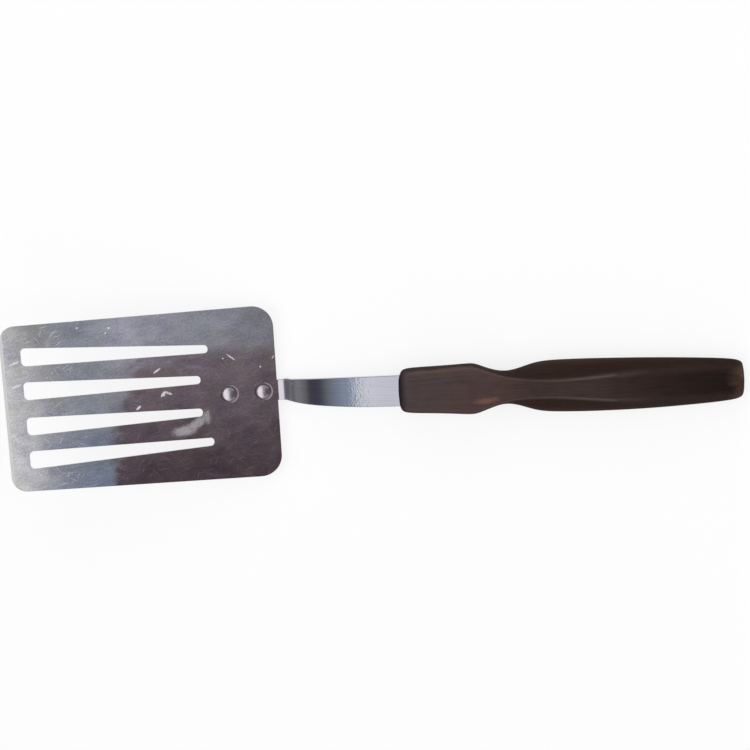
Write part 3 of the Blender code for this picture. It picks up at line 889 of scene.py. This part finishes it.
# Resin colour along the handle, in mm from its front face, on its sides and on its flat top. Its fall
# towards the rear and its lighter butt are painted reflection, and the flat top's paler tones are painted
# light
RESIN_SIDES = (
    (0.0, "#352A29"),
    (52.0, "#322520"),
    (112.0, "#2D201B"),
    (140.0, "#281C17"),
    (146.0, "#48372F"),
)
RESIN_FLATS = (
    (0.0, "#4B4041"),
    (46.0, "#493A36"),
    (58.0, "#3D312E"),
    (82.0, "#3D312D"),
    (112.0, "#2C211E"),
    (140.0, "#211916"),
    (146.0, "#45342C"),
)
# Resin rubbed down to its reddish body in a patch on the front block's near side, and a lighter band along
# its far edge that is painted light
RESIN_RUBBED_AND_LIT = (
    ((38.2, -4.5), (8.2, 2.1), 4.0, 0.8),
    # Painted light: a lighter band where the block's far flank faces the light
    ((17.0, 10.0), (34.0, 2.0), 2.6, 0.5),
)
BLOCK_TOP = (6.8, 3.0)  # level of the marks on the block's flat top, and their reach, in mm
BLOCK_EDGE = (2.0, 6.0, 42.0, 54.0)  # where the block's far edge carries a painted highlight, mm along the handle
RIDGE_EDGES = (56.0, 76.0, 84.0, 104.0)  # where the ridge's edges are rubbed pale, with a painted highlight, mm along the handle
EDGE_WEAR_AND_HIGHLIGHT = (0.5, 0.85)  # how strongly edges are rubbed pale and highlit elsewhere and on the ridge
SHARP_EDGES = (0.5025, 0.5225)  # Pointiness at which an edge begins to be rubbed pale and highlit, and is so fully
TURNED_AWAY = (0.2, 0.36, 0.46, 0.64)  # sideways share of the normal over the block's far edge, where its painted highlight lies
TURNED_UP = (0.86, 0.985)  # upward share of the normal from which on a face is a flat, painted paler as painted light, and is one fully
FRONT_PAINTED_SHADE_MM = (4.0, 1.2)  # along the handle, where the painted shade on the front's rounding begins and is full
DRIFT_MM = 4.0  # by which the colour's drifts shift it along the handle
FLOW_RANGE = (0.55, 1.05)  # in which most of the added streaks and blotches lie
FLOW_TONES = (0.83, 1.17)  # by which these darken and lighten the colour
BLOTCH_SHARE = 0.6  # of the blotches beside the streaks
LOW_SHEEN = 0.03  # specular level of the dulled resin
SKIN_ROUGHNESS = (0.56, 0.72)  # lowest and highest on the moulded skin


def moulded_resin(piece):
    """Dark brown resin, moulded with a wood-like flow and worn by hands: low gloss, fine streaks along the
    handle, flats on top painted greyer as painted light, the ridge's edges rubbed paler with a painted
    highlight, and painted shade on the front's rounding."""
    tree, shader = new_material("resin_moulded_brown", piece)
    where = coordinates_mm(tree, REST @ handle_matrix())
    shader.inputs["Specular IOR Level"].default_value = LOW_SHEEN
    along = add_node(tree, "ShaderNodeSeparateXYZ", [where], "X")
    # Drifts of tone 30 mm long shift the colour to and fro along the handle
    drifts = cloud(tree, where, (30.0, 8.0, 8.0), detail=2.0)
    shift = add_node(tree, "ShaderNodeMapRange", [drifts, *CLOUD_RANGE, -DRIFT_MM, DRIFT_MM])
    shifted = add_node(tree, "ShaderNodeMath", [along, shift], operation="ADD")
    tones = [tones_along(tree, shifted, stops) for stops in (RESIN_SIDES, RESIN_FLATS)]
    normal = add_node(tree, "ShaderNodeNewGeometry", output="Normal")
    facing = add_node(tree, "ShaderNodeSeparateXYZ", [normal]).node.outputs
    # Painted light: faces turned up take the paler flat tones, and both rows of tones carry a painted
    # reflection along the handle
    flats = add_node(tree, "ShaderNodeMapRange", [facing["Z"], *TURNED_UP])
    resin = add_node(tree, "ShaderNodeMix", [flats, *tones], data_type="RGBA")
    # Flow streaks 0.6 mm wide and 26 mm long, and blotches of 6 mm, darken and lighten the colour
    streaks = cloud(tree, where, (26.0, 0.6, 0.8), detail=4.0, turn=2.0)
    blotches = cloud(tree, where, (6.0, 3.0, 3.0), detail=3.0)
    grain = add_node(tree, "ShaderNodeMath", [blotches, BLOTCH_SHARE, streaks], operation="MULTIPLY_ADD")
    grain = add_node(tree, "ShaderNodeMapRange", [grain, *FLOW_RANGE, *FLOW_TONES])
    resin = add_node(tree, "ShaderNodeMix", [1.0, resin, grain], data_type="RGBA", blend_type="MULTIPLY")
    rubbed = marks(tree, where, RESIN_RUBBED_AND_LIT, BLOCK_TOP, grain_mm=2.8, softness=0.2)
    edges = add_node(tree, "ShaderNodeNewGeometry", output="Pointiness")
    edges = add_node(tree, "ShaderNodeMapRange", [edges, *SHARP_EDGES])
    ridge = between(tree, along, *RIDGE_EDGES)
    ridge = add_node(tree, "ShaderNodeMapRange", [ridge, 0.0, 1.0, *EDGE_WEAR_AND_HIGHLIGHT])
    edges = add_node(tree, "ShaderNodeMath", [edges, ridge], operation="MULTIPLY")
    # The front block's far edge shows as a pale line where its top turns down, a painted highlight
    far_edge = between(tree, facing["Y"], *TURNED_AWAY)
    block = between(tree, along, *BLOCK_EDGE)
    far_edge = add_node(tree, "ShaderNodeMath", [far_edge, block], operation="MULTIPLY")
    edges = add_node(tree, "ShaderNodeMath", [edges, far_edge], operation="MAXIMUM")
    front = add_node(tree, "ShaderNodeMapRange", [along, *FRONT_PAINTED_SHADE_MM])
    for mask, colour in (
        # A rubbed patch, and a band of painted light on the block's far flank
        (rubbed, "#745247"),
        # Edges rubbed pale, partly wear and partly a painted highlight
        (edges, "#5C4E4C"),
        # Painted shade on the front face's rounding
        (front, "#272125"),
    ):
        resin = add_node(tree, "ShaderNodeMix", [mask, resin, linear(colour)], data_type="RGBA")
    tree.links.new(resin, shader.inputs["Base Color"])
    # Moulded skin with a grain of 0.5 mm
    skin = cloud(tree, where, (1.6, 0.5, 0.5), detail=3.0)
    gloss = add_node(tree, "ShaderNodeMapRange", [skin, 0.0, 1.0, *SKIN_ROUGHNESS])
    tree.links.new(gloss, shader.inputs["Roughness"])
    bump = add_node(tree, "ShaderNodeBump", {"Strength": 0.6, "Distance": 0.02 * MM, "Height": skin})
    tree.links.new(bump, shader.inputs["Normal"])


# Studio

FLOOR_SIZE = 20.0
FLOOR_GLOW = 0.78  # share of plain white that the camera sees in the floor, which thins the shadow


def make_floor():
    """A plain white floor. The camera, and metal, see part of it as plain white, so its shadow is pale."""
    bpy.ops.object.select_all(action="DESELECT")
    bpy.ops.mesh.primitive_plane_add(size=FLOOR_SIZE)
    floor = bpy.context.object
    floor.name = "floor"
    material = bpy.data.materials.new("floor_white_paint")
    material.use_nodes = True
    floor.data.materials.append(material)
    tree = material.node_tree
    tree.nodes.clear()
    rays = add_node(tree, "ShaderNodeLightPath").node.outputs
    seen = rays["Is Camera Ray"]
    for ray in ("Is Glossy Ray", "Is Transmission Ray"):
        seen = add_node(tree, "ShaderNodeMath", [seen, rays[ray]], operation="MAXIMUM")
    share = add_node(tree, "ShaderNodeMath", [seen, FLOOR_GLOW], operation="MULTIPLY")
    paint = add_node(tree, "ShaderNodeBsdfDiffuse", {"Color": linear("#FBFBFB")})
    glow = add_node(tree, "ShaderNodeEmission", {"Color": linear("#FFFFFF"), "Strength": 1.0})
    both = add_node(tree, "ShaderNodeMixShader", [share, paint, glow])
    add_node(tree, "ShaderNodeOutputMaterial", {"Surface": both})


# Light round the turner as (lean, colour): the lean is how far a direction leans to the handle, as the
# tangent of its angle from straight up, and the colour is that of the surroundings there
SURROUNDINGS = (
    (-2.60, "#8E8C90"),
    (-1.60, "#747473"),
    (-1.44, "#5F5F61"),
    (-1.32, "#514E58"),
    (-0.79, "#4B4957"),
    (-0.69, "#747C80"),
    (-0.42, "#A0ADBD"),
    (-0.27, "#FFFFFF"),
    (-0.09, "#ECECF4"),
    (0.163, "#F8F7F7"),
    (0.172, "#D6D5D7"),
    (0.190, "#B0B0B7"),
    (0.215, "#989EAA"),
    (0.232, "#BBBAC9"),
    (0.270, "#A4A5B2"),
    (0.303, "#A2A4B1"),
    (0.315, "#8F9096"),
    (0.36, "#7F7E80"),
    (0.60, "#50484A"),
    (2.20, "#4E4849"),
    (3.40, "#C8C4C2"),
)
HORIZON = 0.02  # least rise of a direction, so that its lean stays finite
STRIP_MIDDLE = -0.165  # how far to the side the middle of that strip of tones lies
STRIP_SKEW = 0.08  # by which its tones run askew
STRIP_BORDER = (0.28, 0.42)  # from its middle, where it begins to give way to the sides and ends
SIDES = "#88888E"  # tone of the surroundings to either side of it
BRIGHT_LEAN = -0.12  # middle of its brightest part
BRIGHT_REACH = (0.34, 0.22)  # of lean from there, where the strip begins to widen and is widest
BRIGHT_WIDENING = 0.35
# Darker places in that strip as limits of the lean, limits to the side and the colour that shades them
STRIP_SHADES = (
    ((0.180, 0.190, 0.2215, 0.2245), (-0.30, -0.26, -0.192, -0.176), "#E3EAF8"),
    ((0.155, 0.162, 0.186, 0.200), (-0.150, -0.138, -0.110, -0.095), "#EEEEED"),
    ((0.218, 0.227, 0.240, 0.245), (-0.204, -0.194, -0.154, -0.142), "#E4E3E0"),
)
# A dark panel over the handle's side, which the blade mirrors
PANEL_EDGE = 0.223  # lean at which it starts
PANEL_EDGE_BLUR = 0.0024
PANEL_EDGE_BEND = -0.185  # to the side, from where on that edge slants
PANEL_EDGE_SLANT = -0.5
PANEL_TOP = (-0.136, -0.154)  # to the side, where its soft upper edge begins and ends
PANEL_TONES = ("#584A50", "#81747B")  # of its lower end and of its upper
PANEL_RISE = (-0.246, -0.186)  # to the side, from the one tone to the other
PANEL_RISE_SLOPE = -0.12  # by which these places change with the lean
PANEL_MOTTLE = 75.0  # mottles to a unit of direction


def make_world():
    """Pale surroundings with one strip of changing tones overhead, which the metal mirrors."""
    world = bpy.data.worlds.new("studio")
    bpy.context.scene.world = world
    world.use_nodes = True
    tree = world.node_tree
    direction = add_node(tree, "ShaderNodeTexCoord", output="Generated")
    axes = add_node(tree, "ShaderNodeSeparateXYZ", [direction]).node.outputs
    up = add_node(tree, "ShaderNodeMath", [axes["Z"], HORIZON], operation="MAXIMUM")
    lean = add_node(tree, "ShaderNodeMath", [axes["X"], up], operation="DIVIDE")
    from_middle = add_node(tree, "ShaderNodeMath", [axes["Y"], STRIP_MIDDLE], operation="SUBTRACT")
    skewed = add_node(tree, "ShaderNodeMath", [from_middle, STRIP_SKEW, lean], operation="MULTIPLY_ADD")
    strip = tones_along(tree, skewed, SURROUNDINGS)
    for lean_limits, side_limits, shade in STRIP_SHADES:
        inputs = [between(tree, lean, *lean_limits), between(tree, axes["Y"], *side_limits)]
        inside = add_node(tree, "ShaderNodeMath", inputs, operation="MULTIPLY")
        inputs = [inside, strip, linear(shade)]
        strip = add_node(tree, "ShaderNodeMix", inputs, data_type="RGBA", blend_type="MULTIPLY")
    # The panel is mottled and darker at its lower end. Its near edge slants and its upper edge is soft.
    inputs = {"Vector": direction, "Scale": PANEL_MOTTLE, "Detail": 2.0}
    mottle = add_node(tree, "ShaderNodeTexNoise", inputs)
    inputs = [lean, PANEL_RISE_SLOPE, axes["Y"]]
    height = add_node(tree, "ShaderNodeMath", inputs, operation="MULTIPLY_ADD")
    height = add_node(tree, "ShaderNodeMapRange", [height, *PANEL_RISE, -0.5, 0.5])
    tone = add_node(tree, "ShaderNodeMath", [mottle, height], operation="ADD", use_clamp=True)
    dark = add_node(tree, "ShaderNodeMix", [tone, *map(linear, PANEL_TONES)], data_type="RGBA")
    slant = add_node(tree, "ShaderNodeMath", [axes["Y"], PANEL_EDGE_BEND], operation="SUBTRACT")
    slant = add_node(tree, "ShaderNodeMath", [slant, 0.0], operation="MAXIMUM")
    past_edge = add_node(tree, "ShaderNodeMath", [slant, PANEL_EDGE_SLANT, lean], operation="MULTIPLY_ADD")
    # The sides are darker than the strip, but leave its brightest part wide
    bright = add_node(tree, "ShaderNodeMath", [lean, BRIGHT_LEAN], operation="SUBTRACT")
    bright = add_node(tree, "ShaderNodeMath", [bright], operation="ABSOLUTE")
    bright = add_node(tree, "ShaderNodeMapRange", [bright, *BRIGHT_REACH, 0.0, BRIGHT_WIDENING])
    aside = add_node(tree, "ShaderNodeMath", [from_middle], operation="ABSOLUTE")
    aside = add_node(tree, "ShaderNodeMath", [aside, bright], operation="SUBTRACT")
    masks = []
    for limits in (
        (past_edge, PANEL_EDGE - PANEL_EDGE_BLUR, PANEL_EDGE + PANEL_EDGE_BLUR),
        (axes["Y"], *PANEL_TOP),
        (aside, *STRIP_BORDER),
    ):
        masks.append(add_node(tree, "ShaderNodeMapRange", limits, interpolation_type="SMOOTHSTEP"))
    on_panel = add_node(tree, "ShaderNodeMath", masks[:2], operation="MULTIPLY")
    light = add_node(tree, "ShaderNodeMix", [on_panel, strip, dark], data_type="RGBA")
    light = add_node(tree, "ShaderNodeMix", [masks[2], light, linear(SIDES)], data_type="RGBA")
    background = tree.nodes["Background"]
    tree.links.new(light, background.inputs["Color"])
    background.inputs["Strength"].default_value = 1.0


# Soft lamps as (place, power in watts), aimed at the turner and kept out of what the metal mirrors
LAMPS = {
    "lamp_far_side": ((0.0, 1.0, 0.75), 4.2),
    "lamp_near_side": ((0.0, -1.0, 0.75), 1.6),
    "lamp_front": ((-0.9, 0.0, 0.9), 5.8),
    "lamp_rear": ((0.9, 0.0, 0.9), 5.8),
}
LAMP_SIZE = 0.9


def make_lamps():
    for name, (at, power) in LAMPS.items():
        data = bpy.data.lights.new(name, "AREA")
        data.size = LAMP_SIZE
        data.energy = power
        lamp = bpy.data.objects.new(name, data)
        bpy.context.scene.collection.objects.link(lamp)
        lamp.location = at
        lamp.rotation_euler = Vector(at).to_track_quat("Z", "Y").to_euler()
        lamp.visible_glossy = False


def make_camera():
    seen = Matrix.Translation(BLADE_FROM_CAMERA) @ Euler(CAMERA_TURN, "XYZ").to_matrix().to_4x4()
    data = bpy.data.cameras.new("camera")
    data.lens = CAMERA_LENS_MM
    data.clip_start = 10.0 * MM
    camera = bpy.data.objects.new("camera", data)
    bpy.context.scene.collection.objects.link(camera)
    camera.matrix_world = REST @ seen.inverted()
    bpy.context.scene.camera = camera


blade = make_blade()
rivets = make_rivets()
shank = make_shank()
handle = make_handle()
polished_sheet(blade)
satin_strip(shank)
for rivet in rivets.values():
    rivet_steel(rivet)
moulded_resin(handle)
for piece, node, slot in (
    (blade, "blade", "polished_stainless"),
    (shank, "shank", "satin_stainless"),
    (handle, "handle", "moulded_resin"),
    *((rivet, name, "rivet_stainless") for name, rivet in rivets.items()),
):
    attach(piece, "root")
    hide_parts(node)
make_floor()
make_world()
make_lamps()
make_camera()
bpy.context.scene.view_settings.view_transform = "Standard"
